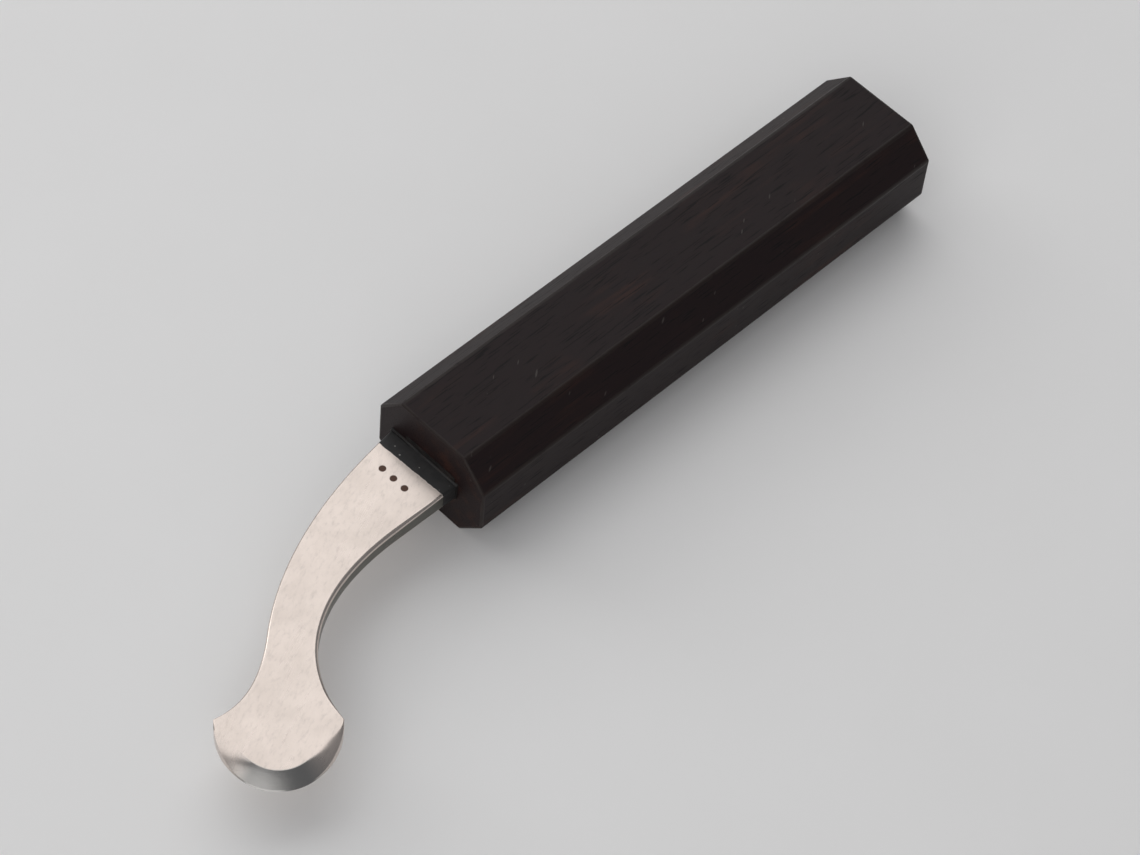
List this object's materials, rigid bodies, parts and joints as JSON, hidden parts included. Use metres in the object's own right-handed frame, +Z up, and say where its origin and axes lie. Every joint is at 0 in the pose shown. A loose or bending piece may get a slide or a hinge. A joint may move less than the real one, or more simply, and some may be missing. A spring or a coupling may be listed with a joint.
{
  "type": "hook knife",
  "caption": "Hook knife for woodcarving: a flat swan-necked steel blade with a rounded cutting head, glued by its tang into a straight eight-sided wooden handle.",
  "frame": {"origin": "middle of the handle's lower flat, on which the knife lies", "axes": "+X along the handle towards the blade, +Z up out of the lower flat, +Y to the side that the blade hooks over to"},
  "size_m": [0.1483, 0.0382, 0.0172],
  "materials": {
    "handle_ebony": "satin, oiled ebony, near black with faint red-brown grain",
    "tang_glue": "dark cured epoxy",
    "blade_steel": "fine satin polish, faint mottling, black scale left on the root"
  },
  "bodies": {
    "root": {"handle": "handle_ebony", "tang_glue": "tang_glue", "blade": "blade_steel"}
  },
  "joints": []
}
